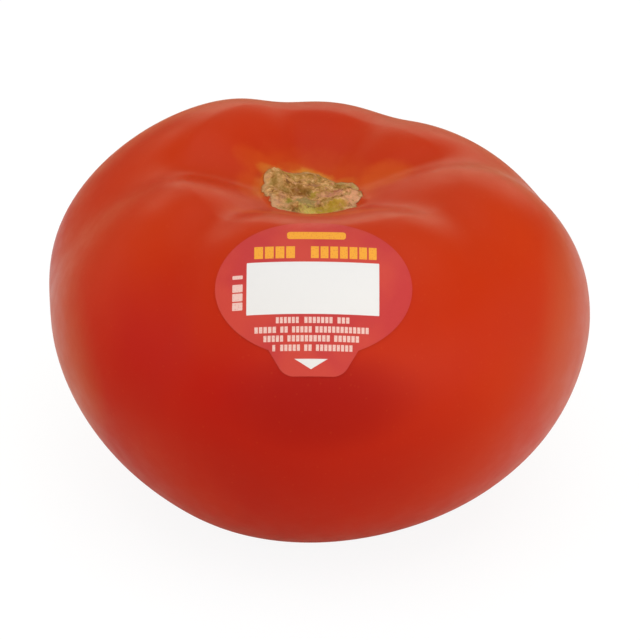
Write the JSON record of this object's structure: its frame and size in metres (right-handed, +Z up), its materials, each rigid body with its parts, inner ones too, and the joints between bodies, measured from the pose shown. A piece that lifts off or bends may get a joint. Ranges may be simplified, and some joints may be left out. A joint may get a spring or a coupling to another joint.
{
  "type": "beefsteak tomato",
  "caption": "Whole ripe beefsteak tomato with broad uneven swellings, a sunken corky stem scar and a tabbed oval paper sticker on its front shoulder.",
  "frame": {"origin": "middle of the fruit's outline, on the surface it rests on", "axes": "+Z up through the stem scar, -Y towards the sticker, +X towards the fruit's right as the sticker is read"},
  "size_m": [0.0908, 0.0864, 0.0627],
  "materials": {
    "skin": "satin",
    "sticker_paper": "semi-gloss"
  },
  "bodies": {
    "root": {"tomato": "skin", "sticker": "sticker_paper"}
  },
  "joints": []
}
